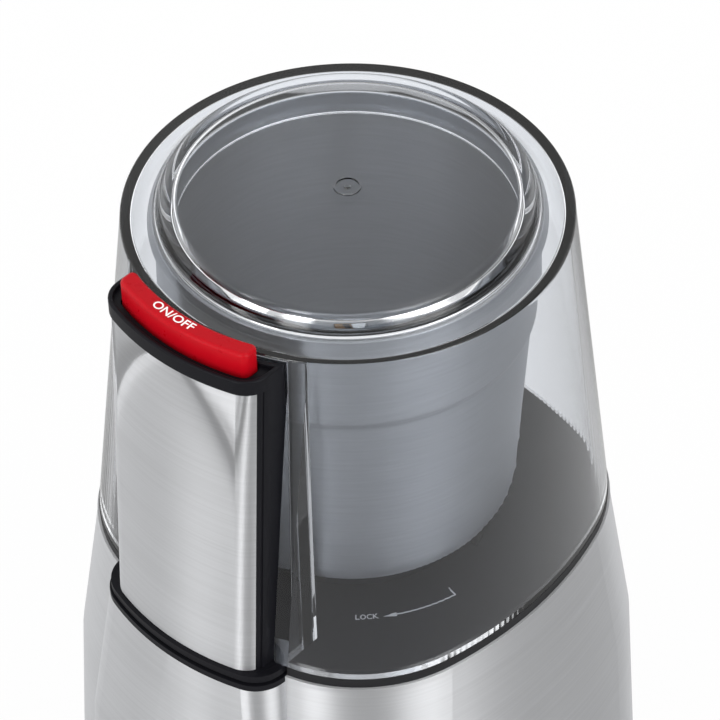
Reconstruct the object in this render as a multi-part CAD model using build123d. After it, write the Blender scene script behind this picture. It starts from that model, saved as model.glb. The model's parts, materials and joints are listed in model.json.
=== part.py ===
from build123d import *
import os
from math import cos, radians, sin, sqrt

# Electric spice grinder. Millimetres, +Z up. The cup, the blade and the motor turn about the Z axis, the origin is on
# that axis on the surface the grinder stands on, and the column stands at -Y. The mains lead leaves at +Y.

os.makedirs("parts", exist_ok=True)

# ---------------------------------------------------------------- sizes

# Plan of the body: a rounded square with bowed sides
side_turn = 15.4  # degrees that a bowed side reaches either way from its middle
side_bow = 1.78  # radius of a bowed side as a multiple of the half width
round_bow = 1.0  # the same for a circle
least_corner = 1.0  # rounding left where an inset is as deep as its corner

# Body and deck
foot_height = 3.0  # rubber feet below the bottom cover
trim_height = 6.0  # black ring under the sleeve
deck_height = 130.0  # top of the deck
deck_half = 50.7  # half width over the deck's gasket
deck_plate = 2.5
gasket_width = 2.2
sleeve_lip = 0.5  # step from the gasket out to the sleeve
waist_height = 90.0  # level where the body's flare eases
waist_flare = 4.2  # growth of the half width from the deck to there
flare = 8.2  # and down to the foot
sleeve_wall = 1.0
housing_wall = 2.2
skin_gap = 0.15  # between the steel sleeve and the housing
trim_proud = 0.6  # trim ring outside the sleeve
trim_width = 5.0
trim_lip = 4.0  # shelf inside the ring, clamped under the housing
trim_lip_height = 2.0

# Cover
cover_rise = 79.6  # deck to the outer edge of the cover's top
ring_radius = 45.0
cover_wall = 2.0
cover_roof = 1.2  # thickness of the roof outside the crown
crown_rise = 4.9  # flat top above the outer edge
crown_radius = 37.4
crown_shoulder = 2.2  # drop and width of the crown's sloping shoulder
crown_plate = 2.2
band_radius = 40.6  # where the crown's foot meets the flat band
plug_radius = 36.2
plug_wall = 1.9
plug_depth = 6.2  # below the outer edge
gate_radius = 2.8  # moulding gate mark in the middle of the crown
gate_rise = 0.35
gate_wall = 0.45

# Cup
cup_gap = 0.3  # under the cover's roof
cup_radius = 37.7
cup_wall = 0.9
cup_lift = 3.0  # cup's floor above the deck
cup_step_drop = 23.0  # rim to the step
cup_step = 0.9  # how far the wall steps in
cup_step_rise = 1.4
cup_foot_radius = 34.0
cup_corner = 5.0  # bevel round the cup's foot

# Cup base and its bayonet socket in the deck
base_radius = 27.6
base_wall = 2.4
base_top = 2.2
base_reach = 10.5  # how far the base goes below the deck
socket_fit = 0.5
socket_wall = 2.4
lug_count = 3
lug_angle = 26.0
lug_reach = 2.8
lug_height = 3.0
ledge_gap = 0.4
slot_play = 8.0  # degrees that a lug slot is wider than its lug
unlock_angle = 24.0
socket_floor = 2.0
socket_hole = 11.0

# Blade and its spindle
spindle_radius = 3.0
running_fit = 0.04
bush_radius = 5.0
bush_flange = 8.0
bush_flange_height = 1.4
bush_reach = 3.6  # below the cup's floor
seal_radius = 6.0
seal_height = 2.0
seal_gap = 0.4
washer_radius = 5.5
washer_height = 0.8
blade_thickness = 1.6
blade_length = 56.0
blade_width = 11.0
blade_tip_width = 5.0
blade_flat = 18.0
blade_rise = 7.0  # of the tip that is bent up
blade_drop = 3.0  # of the tip that is bent down
nut_radius = 5.2
nut_height = 4.0
nut_crown = 1.0  # closed end of the nut above the spindle

# Jaw coupling
jaw_radius = 9.0
jaw_bore = 5.4
jaw_count = 3
jaw_angle = 50.0
jaw_height = 3.2
jaw_gap = 0.3
driven_height = 5.0
drive_height = 7.0

# Column
column_half = 20.0
column_inner_gap = 0.4  # between the cover's notch wall and the column
column_depth = 6.9  # inner face to the steel front, at the column's top
column_lean = 4.7  # how far the front comes out down to the deck
column_corner = 6.0
column_top_drop = 4.3  # cover's outer edge to the top of the column
sheet_wall = 0.8
sheet_wrap = 4.9  # depth to which the sheet wraps round the corners
spine_wall = 2.2
shelf_drop = 16.0
shelf_height = 2.0
cap_height = 3.4
cap_proud = 0.6
cap_bevel = 0.7
notch_gap = 0.6

# Flange at the foot of the column, and the fairing under it
flange_height = 4.0
flange_ledge = 1.5  # in front of the column
flange_side = 3.5  # beside the column
flange_corner = 8.0
flange_groove = 0.6
flange_groove_depth = 0.9
flange_tier = 1.6
tongue_inset = 2.0

# Button, its springs and rod
button_wall = 0.8  # column's wall inside the button
button_width = 4.0
button_angle = 40.0
button_proud = 4.6  # above the cap
button_depth = 5.6  # below the cap's top
button_gap = 0.25
button_corner = 1.6
button_bevel = 0.6
press_travel = 3.0  # of the button and of the interlock's pin
spring_angle = -7.0  # from the middle of the column
spring_radius = 1.5
spring_wire = 0.45
spring_turns = 3
rod_angle = 7.0  # from the middle of the column
rod_radius = 1.6
rod_fit = 0.3

# Switches
switch_length = 19.8
switch_width = 6.4
switch_height = 10.2
switch_drop = 14.5  # below the deck's plate
switch_hole = 3.0  # mounting holes from the ends and the bottom of a switch
switch_hole_radius = 1.4
switch_peg_fit = 0.1
switch_web = 1.6
main_plunger_place = -3.9  # along the main switch, from its middle
plunger_radius = 1.1
plunger_length = 5.4
plunger_bore = 6.0
plunger_rise = 3.4  # above its switch when it is free
plunger_fit = 0.2
pin_angle = -8.0  # from the middle of the column
pin_plunger_place = 6.9  # along the interlock switch, from its middle
pin_radius = 0.9
pin_flange = 2.0
pin_flange_height = 1.0
pin_flange_drop = 3.2  # below the deck's plate when the cover is on
pin_slack = 0.1

# Motor
shaft_radius = 4.0
shaft_end = 1.0  # below the fan
stack_height = 24.0
stack_x = 56.0
stack_y = 62.0
stack_corner = 6.0
yoke = 6.0
pole_width = 18.0
pole_shoe = 3.0
pole_angle = 116.0
rotor_radius = 15.0
air_gap = 0.5
rotor_slots = 10
rotor_slot_width = 2.4
rotor_slot_depth = 6.0
coil_wall = 5.4
coil_gap = 0.3
coil_corner = 4.0
winding_step = 2.5  # winding inside the rotor's edge
winding_height = 5.0
commutator_radius = 10.0
commutator_height = 11.0
commutator_drop = 7.0  # below the rotor core
commutator_bars = 12
commutator_slit = 0.6
commutator_slit_depth = 1.2
bearing_radius = 7.0
bearing_height = 8.0
bracket_plate = 4.0
bracket_hub = 10.0
bracket_window_x = 28.0
bracket_window_y = 9.0
bracket_bridge = 1.0  # between the windows and the hub
leg_radius = 3.6
leg_inset = 5.0  # screws inside the edges of the stator
upper_leg = 7.5
lower_leg = 21.0
leg_rim = 1.0
mount_boss = 24.0  # deck's plate to the rubber mounts
mount_x = 37.0
mount_y = 13.0
mount_rim = 1.0
fan_radius = 23.0
fan_hub = 7.0
fan_disc = 1.4
fan_height = 8.0
fan_blades = 9
fan_blade_wall = 1.2
fan_drop = 1.0
fan_sweep = 3.5

# Brushes
brush_height = 6.0
brush_width = 5.0
brush_length = 11.0
brush_gap = 0.08
holder_wall = 0.8
holder_length = 17.0
holder_gap = 1.5  # from the commutator
brush_fit = 0.1
leaf_wall = 0.5  # folded leaf spring behind each brush
leaf_width = 4.0
leaf_reach = 1.7
leaf_folds = 4

# Rubber mounts, screws, feet, gland
mount_radius = 5.0
mount_squash = 2.0
screw_radius = 1.5
screw_head = 3.0
screw_head_height = 2.0
screw_fit = 0.3
boss_radius = 4.0
rib_wall = 2.0
top_boss_inset = 3.7
top_boss_height = 10.0
deck_boss_height = 6.0
base_boss_inset = 11.4
base_boss_height = 16.0
base_boss_turn = 22.5
screw_bite = 8.0
screw_tip = 1.0  # left under the deck's plate
cover_plate = 2.4
cover_rim_wall = 2.0
cover_fit = 0.2
vent_count = 10
vent_width = 3.0
vent_inner = 17.0
vent_outer = 33.0
foot_radius = 6.5
foot_inset = 7.0
foot_stud = 2.6
foot_stud_height = 1.2
gland_height = 18.5
gland_radius = 6.0
gland_flange = 8.5
gland_proud = 1.2
gland_length = 13.3
gland_collar = 6.3  # collar round the lead, outside the flange
gland_bore = 3.7
gland_fit = 0.1

# ---------------------------------------------------------------- levels and places worked out from the sizes

trim_bottom = foot_height
sleeve_bottom = trim_bottom + trim_height
body_top = deck_height - deck_plate
fairing_top = deck_height - flange_height
body_foot_half = deck_half + sleeve_lip + flare
housing_inset = sleeve_wall + skin_gap
room_inset = housing_inset + housing_wall

ring_level = deck_height + cover_rise
roof_level = ring_level - cover_roof
crown_level = ring_level + crown_rise
plug_bottom = ring_level - plug_depth
notch_half = column_half + notch_gap

cup_rim = roof_level - cup_gap
cup_floor = deck_height + cup_lift
step_level = cup_rim - cup_step_drop

base_bottom = deck_height - base_reach
ledge_bottom = base_bottom + lug_height + ledge_gap
socket_radius = base_radius + lug_reach + socket_fit
socket_level = base_bottom - socket_fit
socket_bottom = socket_level - socket_floor

column_inner = ring_radius + column_inner_gap
column_top_reach = column_inner + column_depth
column_foot_reach = column_top_reach + column_lean
flange_reach = column_foot_reach + flange_ledge
flange_half = column_half + flange_side
column_top = ring_level - column_top_drop
cap_top = column_top + cap_height
shelf_level = column_top - shelf_drop
button_inner = column_inner + button_wall
button_outer = button_inner + button_width
button_middle = (button_inner + button_outer) / 2
button_top = cap_top + button_proud
button_bottom = cap_top - button_depth
tongue_half = flange_half - tongue_inset
tongue_reach = flange_reach - tongue_inset

jaw_low = base_bottom
jaw_high = jaw_low + jaw_height
spindle_low = jaw_high + jaw_gap
bush_top = cup_floor + cup_wall + bush_flange_height
washer_level = bush_top + seal_height + seal_gap
blade_level = washer_level + washer_height
blade_top = blade_level + blade_thickness
nut_top = blade_top + nut_height
drive_top = jaw_low - jaw_gap

mount_top = body_top - mount_boss
upper_plate_top = mount_top - mount_squash
upper_plate = upper_plate_top - bracket_plate
stack_top = upper_plate - upper_leg
stack_bottom = stack_top - stack_height
lower_plate_top = stack_bottom - lower_leg
lower_plate = lower_plate_top - bracket_plate
lower_hub = lower_plate_top - bearing_height
leg_x = stack_x / 2 - leg_inset
leg_y = stack_y / 2 - leg_inset
stator_bore = rotor_radius + air_gap
winding_radius = rotor_radius - winding_step
commutator_top = stack_bottom - commutator_drop
brush_level = commutator_top - commutator_height / 2
fan_top = lower_hub - fan_drop
shaft_bottom = fan_top - fan_height - shaft_end

holder_inner = commutator_radius + holder_gap
holder_outer = holder_inner + holder_length
holder_side = brush_fit + holder_wall
holder_bottom = brush_level - brush_height / 2 - holder_side
brush_back = commutator_radius + brush_gap + brush_length

switch_top = body_top - switch_drop
plunger_top = switch_top + plunger_rise
pin_bottom = plunger_top - press_travel
pin_spring_top = body_top - pin_flange_drop - pin_flange_height

top_boss_radius = deck_half - top_boss_inset
deck_boss_bottom = body_top - deck_boss_height
deck_screw_tip = body_top - screw_tip
top_boss_bottom = deck_boss_bottom - top_boss_height
base_boss_radius = body_foot_half - base_boss_inset
gland_end = body_foot_half + gland_proud + gland_collar
plate_top = foot_height + cover_plate
rim_top = sleeve_bottom - trim_lip_height
base_screw_length = sleeve_bottom + screw_bite - foot_height - screw_head_height
mount_screw_length = mount_top + screw_bite - upper_plate

low = (Align.CENTER, Align.CENTER, Align.MIN)


# ---------------------------------------------------------------- shared forms


def disc(radius, bottom, top):
    """Round bar on the Z axis between two levels."""
    return Pos(0, 0, bottom) * Cylinder(radius, top - bottom, align=low)


def tube(outer, inner, bottom, top):
    """Round tube on the Z axis between two levels."""
    return disc(outer, bottom, top) - disc(inner, bottom, top)


def bar(place, radius, bottom, top):
    """Upright round bar at a place in the plan."""
    return Pos(*place) * disc(radius, bottom, top)


def block(x_size, y_size, bottom, top):
    """Upright block centred on the Z axis between two levels."""
    return Pos(0, 0, bottom) * Box(x_size, y_size, top - bottom, align=low)


def slab(face, bottom, top):
    """Plan face raised between two levels."""
    return extrude(Pos(0, 0, bottom) * face, top - bottom)


def wedge(outer, inner, bottom, top, middle, width):
    """Part of a round tube, width degrees wide about a middle direction."""
    profile = Plane.XZ * Pos((outer + inner) / 2, (bottom + top) / 2) * Rectangle(outer - inner, top - bottom)
    return Rot(0, 0, middle - width / 2) * revolve(profile, Axis.Z, revolution_arc=width)


def spun(points):
    """Turned form of a closed outline of radius and height pairs."""
    return revolve(Plane.XZ * make_face(Polyline(*points, close=True)), Axis.Z)


def polar(radius, angle):
    """Place in the plan at a radius and a direction in degrees."""
    return (radius * cos(radians(angle)), radius * sin(radians(angle)))


def ring_places(radius, first, count=4):
    """Places spread evenly on a circle, the first in a given direction."""
    return [polar(radius, first + 360 / count * number) for number in range(count)]


def corners(x, y):
    """Four places, one in each quarter of the plan."""
    return [(x, y), (-x, y), (-x, -y), (x, -y)]


def square_arcs(half, bow):
    """Radius of a rounded square's sides, radius of its corners, and how far out the corners' centres are."""
    turn = radians(side_turn)
    side = half * bow
    corner = side - (side - half) / (cos(turn) - sin(turn))
    return side, corner, (side - corner) * sin(turn)


def rounded_square(half, bow, inset=0.0):
    """Plan face of four bowed sides and four corner arcs tangent to them, drawn inset from its half width."""
    side, corner, middle = square_arcs(half, bow)
    edges = []
    for quarter in range(4):
        turned = Rot(0, 0, 90 * quarter)
        edges.append(turned * CenterArc((half - side, 0), side - inset, -side_turn, 2 * side_turn))
        edges.append(turned * CenterArc((middle, middle), corner - inset, side_turn, 90 - 2 * side_turn))
    return make_face(edges)


def front_plan(reach, half, corner, inset=0.0):
    """Plan face of the column's front: an arc about the Z axis with straight sides and rounded corners."""
    depth = 2 * reach - column_inner
    front = Circle(reach - inset) & Pos(0, -reach) * Rectangle(2 * (half - inset), depth)
    outer = front.vertices().sort_by(Axis.Y)[0:2]
    return fillet(outer, max(corner - inset, least_corner))


def column_form(inset=0.0):
    """Column between the deck and its top, leaning out towards its foot."""
    foot = Pos(0, 0, deck_height) * front_plan(column_foot_reach, column_half, column_corner, inset)
    head = Pos(0, 0, column_top) * front_plan(column_top_reach, column_half, column_corner, inset)
    return loft([foot, head]) - disc(column_inner + inset, deck_height, column_top)


def ridge(plane, levels, length):
    """Bar along a plane's normal, whose sides follow levels, each with where its two sides are there."""
    right = [(high, level) for level, low_side, high in levels]
    left = [(low_side, level) for level, low_side, high in reversed(levels) if low_side != high]
    return extrude(plane * make_face(Polyline(*right, *left, close=True)), length, both=True)


def flared(face, stages):
    """Form of a plan face whose quarters lean outward, with flat strips that widen between them.

    Each stage is a level with how far the quarters have spread there along X and along Y, from the top down."""
    box = face.bounding_box()
    far = 2 * box.diagonal
    form = Part()
    for (top, top_x, top_y), (bottom, bottom_x, bottom_y) in zip(stages, stages[1:]):
        for x, y in corners(1, 1):
            lean = Vector(x * (bottom_x - top_x), y * (bottom_y - top_y), bottom - top)
            quarter = face & Pos(x * far / 2, y * far / 2) * Rectangle(far, far)
            form += extrude(Pos(x * top_x, y * top_y, top) * quarter, lean.length, dir=lean)
        wide = [(top, box.min.X - top_x, box.max.X + top_x), (bottom, box.min.X - bottom_x, box.max.X + bottom_x)]
        deep = [(top, box.min.Y - top_y, box.max.Y + top_y), (bottom, box.min.Y - bottom_y, box.max.Y + bottom_y)]
        across = ridge(Plane.YZ, [(top, -top_y, top_y), (bottom, -bottom_y, bottom_y)], far)
        along = ridge(Plane.XZ, [(top, -top_x, top_x), (bottom, -bottom_x, bottom_x)], far)
        form += across & ridge(Plane.XZ, wide, far)
        form += along & ridge(Plane.YZ, deep, far)
    return form


def flange_plan(inset=0.0):
    """Plan face of the flange at the column's foot, drawn inset."""
    return front_plan(flange_reach, flange_half, flange_corner, inset)


def body_form(inset=0.0):
    """Body between the trim ring and the deck: a rounded square with a fairing under the column, flaring to its foot."""
    square = rounded_square(deck_half, side_bow, inset - sleeve_lip)
    stages = [(fairing_top, 0, 0), (waist_height, waist_flare, waist_flare), (sleeve_bottom, flare, flare)]
    return flared(square + flange_plan(inset), stages) + slab(square - flange_plan(), fairing_top, body_top)


def foot_plan(inset=0.0):
    """Plan of the trim ring's outside, fairing included, drawn inset."""
    grown = flare + trim_proud
    square = rounded_square(deck_half, side_bow, inset - sleeve_lip - grown)
    return square + front_plan(flange_reach + grown, flange_half + grown, flange_corner, inset)


def screw(length):
    """Pan-headed screw that points up, its tip at the origin."""
    shank = Pos(0, 0, -length) * Cylinder(screw_radius, length, align=low)
    head = Pos(0, 0, -length - screw_head_height) * Cylinder(screw_head, screw_head_height, align=low)
    return shank + head


def screws(places, tip, length):
    """Group of screws that point up, their tips at one level."""
    return [Pos(*place) * Pos(0, 0, tip) * screw(length) for place in places]


def motor_screws():
    """Long screws that point down and clamp the two brackets on the stator."""
    tip = stack_bottom - screw_bite
    turned = Pos(0, 0, tip) * Rot(180, 0, 0) * screw(upper_plate_top - tip)
    return [Pos(*place) * turned for place in leg_places]


def coil_spring(radius, wire, turns, length):
    """Compression spring of square wire, standing on the plan."""
    path = Helix((length - wire) / turns, length - wire, radius)
    section = Plane(origin=path @ 0, z_dir=path % 0) * Rectangle(wire, wire)
    return Pos(0, 0, wire / 2) * sweep(section, path=path)


rod_place = polar(button_middle, -90 + rod_angle)
pin_place = polar(ring_radius - cover_wall / 2, -90 + pin_angle)
main_switch_place = (rod_place[0] - main_plunger_place, rod_place[1])
pin_switch_place = (pin_place[0] - pin_plunger_place, pin_place[1])
leg_places = [(leg_x, leg_y), (-leg_x, -leg_y)]
deck_screw_places = ring_places(top_boss_radius, 45)
base_screw_places = ring_places(base_boss_radius, base_boss_turn)
side_arc, corner_arc, corner_middle = square_arcs(deck_half, side_bow)
foot_places = ring_places(sqrt(2) * corner_middle + corner_arc + sleeve_lip + flare - trim_width - foot_inset, 45)


# ---------------------------------------------------------------- cover


def notch(wall):
    """Space that the cover leaves for the column, grown by a wall."""
    reach = 2 * deck_half
    space = Pos(0, -reach / 2) * Rectangle(2 * (notch_half + wall), reach) - Circle(ring_radius - wall)
    return slab(space, deck_height, ring_level)


def cover_shell():
    """Tapered wall of the cover, round at its top and a rounded square at the deck, notched round the column."""
    spread = deck_half - ring_radius
    stages = [(ring_level, 0, 0), (deck_height, spread, spread)]
    outside = flared(rounded_square(ring_radius, round_bow), stages) - notch(0)
    inside = flared(rounded_square(ring_radius, round_bow, cover_wall), stages) - notch(cover_wall)
    return outside - (inside & disc(2 * deck_half, deck_height, roof_level))


def cover_crown():
    """Raised top of the cover with its sloping shoulder and the step inside its edge."""
    shoulder = crown_radius - crown_shoulder
    return spun(
        [
            (0, crown_level),
            (shoulder, crown_level),
            (crown_radius, crown_level - crown_shoulder),
            (band_radius, ring_level),
            (band_radius, roof_level),
            (0, roof_level),
        ]
    )


def clear_cover():
    """Transparent cover: wall, roof, crown, plug ring and the gate mark on top."""
    plug_inside = plug_radius - plug_wall
    plug = tube(plug_radius, plug_inside, plug_bottom, roof_level)
    gate = tube(gate_radius, gate_radius - gate_wall, crown_level, crown_level + gate_rise)
    return cover_shell() + cover_crown() + plug + gate - disc(plug_inside, roof_level, crown_level - crown_plate)


# ---------------------------------------------------------------- cup


def cup_form(inset):
    """Turned form of the cup, drawn inset from its outside."""
    points = [
        (0, cup_floor + inset),
        (cup_foot_radius - inset, cup_floor + inset),
        (cup_radius - cup_step - inset, step_level),
        (cup_radius - inset, step_level + cup_step_rise),
        (cup_radius - inset, cup_rim),
        (0, cup_rim),
    ]
    face = make_face(Polyline(*points, close=True))
    foot = [v for v in face.vertices() if v.X > 0 and v.Y < step_level]
    return revolve(Plane.XZ * chamfer(foot, cup_corner - inset), Axis.Z)


def grinding_cup():
    """Drawn steel cup with a step in its wall, a bevelled foot and a hole for the bush."""
    return cup_form(0.0) - cup_form(cup_wall) - disc(bush_radius, cup_floor, cup_floor + cup_wall)


def cup_base():
    """Bayonet ring under the cup, with lugs round its lower edge."""
    inner = base_radius - base_wall
    skirt = tube(base_radius, inner, base_bottom, cup_floor)
    plate = tube(base_radius, bush_radius, cup_floor - base_top, cup_floor)
    lugs = []
    for number in range(lug_count):
        middle = 360 / lug_count * number
        lugs.append(wedge(base_radius + lug_reach, inner, base_bottom, base_bottom + lug_height, middle, lug_angle))
    return skirt + plate + lugs


def cup_bush():
    """Sintered bush through the cup's floor, with a flange inside the cup."""
    body = disc(bush_radius, cup_floor - bush_reach, cup_floor + cup_wall)
    flange = disc(bush_flange, cup_floor + cup_wall, bush_top)
    return body + flange - disc(spindle_radius + running_fit, cup_floor - bush_reach, bush_top)


def cup_seal():
    """Rubber lip seal on the bush, a little clear of the washer above it."""
    inner = spindle_radius + running_fit
    lip = seal_radius - seal_height / 2
    top = bush_top + seal_height
    return spun([(inner, bush_top), (seal_radius, bush_top), (lip, top), (inner, top)])


# ---------------------------------------------------------------- blade


def blade():
    """Two-winged blade, one tip bent up and the other down, tapering to its tips."""
    half = blade_length / 2
    run = blade_flat / 2
    low_edge = [(-half, -blade_drop), (-run, 0), (run, 0), (half, blade_rise)]
    high_edge = [(x, z + blade_thickness) for x, z in reversed(low_edge)]
    side = Plane.XZ * make_face(Polyline(*low_edge, *high_edge, close=True))
    bent = Pos(0, 0, blade_level) * extrude(side, blade_width, both=True)
    tip = blade_tip_width / 2
    middle = blade_width / 2
    outline = [(-half, -tip), (0, -middle), (half, -tip), (half, tip), (0, middle), (-half, tip)]
    plan = make_face(Polyline(*outline, close=True))
    ends = [v for v in plan.vertices() if abs(v.X) > run]
    wings = slab(fillet(ends, tip / 2), blade_level - blade_drop, blade_top + blade_rise)
    return (bent & wings) - disc(spindle_radius, blade_level, blade_top)


def blade_shaft():
    """Spindle from the driven coupling up through the blade."""
    return disc(spindle_radius, spindle_low, nut_top - nut_crown)


def blade_washer():
    """Washer under the blade."""
    return tube(washer_radius, spindle_radius, washer_level, blade_level)


def blade_nut():
    """Hexagon cap nut that clamps the blade."""
    nut = slab(RegularPolygon(nut_radius, 6), blade_top, nut_top)
    return nut - disc(spindle_radius, blade_top, nut_top - nut_crown)


def jaws(bottom, top, first):
    """Ring of jaws, the first in a given direction."""
    step = 360 / jaw_count
    return [wedge(jaw_radius, jaw_bore, bottom, top, first + step * jaw, jaw_angle) for jaw in range(jaw_count)]


def driven_coupling():
    """Jaw coupling on the spindle, its jaws hanging down."""
    hub = disc(jaw_radius, spindle_low, spindle_low + driven_height)
    return hub + jaws(jaw_low, spindle_low, 0) - disc(spindle_radius, spindle_low, spindle_low + driven_height)


def drive_coupling():
    """Jaw coupling on the motor shaft, its jaws standing up between the driven ones."""
    hub = disc(jaw_radius, drive_top - drive_height, drive_top)
    standing = jaws(drive_top, jaw_high, 180 / jaw_count)
    return hub + standing - disc(shaft_radius, drive_top - drive_height, drive_top)


# ---------------------------------------------------------------- deck


def deck_plan(inset=0.0):
    """Plan of the deck's plate: a rounded square with the tongue that carries the column."""
    plate = rounded_square(deck_half, side_bow, gasket_width + inset)
    return plate + front_plan(tongue_reach, tongue_half, flange_corner - tongue_inset, inset)


def socket_cut():
    """Space of the bayonet socket: the well, the ledges' opening and the slots that let the lugs in."""
    space = disc(socket_radius, socket_level, ledge_bottom)
    space += disc(base_radius + socket_fit, ledge_bottom, deck_height)
    space += disc(socket_hole, socket_bottom, socket_level)
    for number in range(lug_count):
        middle = 360 / lug_count * number + unlock_angle
        space += wedge(socket_radius, base_radius, ledge_bottom, deck_height, middle, lug_angle + slot_play)
    return space


def switch_wall(place, length):
    """Wall under the deck with two pegs that a microswitch is pushed on, centred at the switch's place."""
    x, y = place
    inner = y + switch_width / 2
    bottom = switch_top - switch_height
    wall = Pos(x, inner + switch_web / 2) * block(length, switch_web, bottom, body_top)
    for side in (-1, 1):
        turned = Pos(x + side * (length / 2 - switch_hole), inner, bottom + switch_hole) * Rot(90, 0, 0)
        wall += turned * Cylinder(switch_hole_radius - switch_peg_fit, switch_width, align=low)
    return wall


def deck():
    """Top of the base: plate, bayonet socket, motor bosses, screw bosses and the switches' walls."""
    body = slab(deck_plan(), body_top, deck_height)
    body += disc(socket_radius + socket_wall, socket_bottom, body_top)
    body += [bar(place, boss_radius, mount_top, body_top) for place in corners(mount_x, mount_y)]
    body += [bar(place, boss_radius, deck_boss_bottom, body_top) for place in deck_screw_places]
    body += switch_wall(main_switch_place, switch_length)
    body += switch_wall(pin_switch_place, switch_length)
    body -= socket_cut()
    body -= bar(rod_place, rod_radius + rod_fit, body_top, deck_height)
    body -= bar(pin_place, pin_radius + rod_fit, body_top, deck_height)
    for place in corners(mount_x, mount_y):
        body -= bar(place, screw_radius, mount_top, mount_top + screw_bite)
    for place in deck_screw_places:
        body -= bar(place, screw_radius, deck_boss_bottom, deck_screw_tip)
    return body


def deck_gasket():
    """Soft trim ring round the deck, broken where the column's foot stands."""
    ring = rounded_square(deck_half, side_bow) - deck_plan()
    return slab(ring - flange_plan(), body_top, deck_height)


def column_foot():
    """Two-tier flange round the foot of the column, grooved between its tiers."""
    groove_bottom = fairing_top + flange_tier
    groove_top = groove_bottom + flange_groove
    tiers = [
        (0.0, fairing_top, groove_bottom),
        (flange_groove_depth, groove_bottom, groove_top),
        (flange_groove_depth / 2, groove_top, deck_height),
    ]
    foot = Part()
    for inset, bottom, top in tiers:
        foot += slab(flange_plan(inset), bottom, top)
    return foot - slab(deck_plan(), fairing_top, deck_height)


# ---------------------------------------------------------------- column


def sheet_space(inset):
    """Front of the column that the steel sheet covers, down to a given depth."""
    reach = 2 * column_foot_reach
    outline = [
        (-column_foot_reach + sheet_wrap, deck_height),
        (-reach, deck_height),
        (-reach, column_top),
        (-column_top_reach + sheet_wrap, column_top),
    ]
    front = Plane.YZ * make_face(Polyline(*outline, close=True))
    return (column_form() - column_form(inset)) & extrude(front, reach, both=True)


def column_cover():
    """Brushed steel sheet wrapped round the front of the column."""
    return sheet_space(sheet_wall)


def column_spine():
    """Moulded column, hollow round the button's rod, with a pocket for the button and a shelf under its springs."""
    wide = 4 * column_foot_reach
    hollow = column_form(spine_wall) & block(wide, wide, deck_height + spine_wall, shelf_level - shelf_height)
    pocket = slab(button_plan(button_gap), shelf_level, column_top)
    spine = column_form() - sheet_space(sheet_wall + skin_gap) - hollow - pocket
    return spine - bar(rod_place, rod_radius + rod_fit, deck_height, column_top)


def button_plan(grow):
    """Plan face of the button: a curved bar about the Z axis, grown by a gap."""
    band = Circle(button_outer + grow) - Circle(button_inner - grow)
    half = button_middle * sin(radians(button_angle / 2)) + grow
    face = band & Pos(0, -button_middle) * Rectangle(2 * half, 2 * button_middle)
    return fillet(face.vertices(), button_corner)


def column_cap():
    """Cap of the column, bevelled along its top edge, with the opening that the button works in."""
    outline = front_plan(column_top_reach + cap_proud, column_half, column_corner)
    cap = slab(outline, column_top, cap_top)
    rim = cap.edges().group_by(Axis.Z)[-1].filter_by(lambda edge: edge.center().Y < -column_inner)
    bevelled = chamfer(rim, cap_bevel) - disc(column_inner, column_top, cap_top)
    return bevelled - slab(button_plan(button_gap), column_top, cap_top)


def on_off_button():
    """Curved button, bevelled along its top."""
    button = slab(button_plan(0.0), button_bottom, button_top)
    return chamfer(button.edges().group_by(Axis.Z)[-1], button_bevel)


def button_spring():
    """Coil spring between the column's shelf and the button."""
    spring = coil_spring(spring_radius, spring_wire, spring_turns, button_bottom - shelf_level)
    return Pos(*polar(button_middle, -90 + spring_angle)) * Pos(0, 0, shelf_level) * spring


def push_rod():
    """Rod from the button down to the main switch."""
    return bar(rod_place, rod_radius, plunger_top, button_bottom)


# ---------------------------------------------------------------- switches


def microswitch(place, plunger_place):
    """Microswitch with two mounting holes and a bore for its plunger."""
    x, y = place
    bottom = switch_top - switch_height
    body = Pos(x, y) * block(switch_length, switch_width, bottom, switch_top)
    body = fillet(body.edges().filter_by(Axis.Y), switch_hole_radius / 2)
    body -= bar(plunger_place, plunger_radius + plunger_fit, switch_top - plunger_bore, switch_top)
    for side in (-1, 1):
        turned = Pos(x + side * (switch_length / 2 - switch_hole), y, bottom + switch_hole) * Rot(90, 0, 0)
        body -= turned * Cylinder(switch_hole_radius, switch_width)
    return body


def plunger(place, top):
    """Plunger of a microswitch, its upper end at a level above the body."""
    return bar(place, plunger_radius, top - plunger_length, top)


def interlock_pin():
    """Pin that the cover holds down, with the flange that its spring lifts."""
    flange = bar(pin_place, pin_flange, pin_spring_top, pin_spring_top + pin_flange_height)
    return bar(pin_place, pin_radius, pin_bottom, deck_height - pin_slack) + flange


def interlock_spring():
    """Coil spring between the interlock switch and the pin's flange."""
    spring = coil_spring(pin_radius + spring_wire, spring_wire, spring_turns, pin_spring_top - switch_top)
    return Pos(*pin_place) * Pos(0, 0, switch_top) * spring


# ---------------------------------------------------------------- housing and base


def wall_bosses(radius, first, bottom, top):
    """Four screw bosses, each tied to the wall by a rib."""
    bosses = []
    for quarter in range(4):
        turned = Rot(0, 0, first + 90 * quarter)
        rib = Box(body_foot_half, rib_wall, top - bottom, align=(Align.MIN, Align.CENTER, Align.MIN))
        bosses.append(turned * bar((radius, 0), boss_radius, bottom, top))
        bosses.append(turned * Pos(radius, 0, bottom) * rib)
    return Part() + bosses


def gland_hole():
    """Hole through the back of the body for the cord's bush."""
    return Pos(0, body_foot_half, gland_height) * Rot(90, 0, 0) * Cylinder(gland_radius, body_foot_half)


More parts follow.
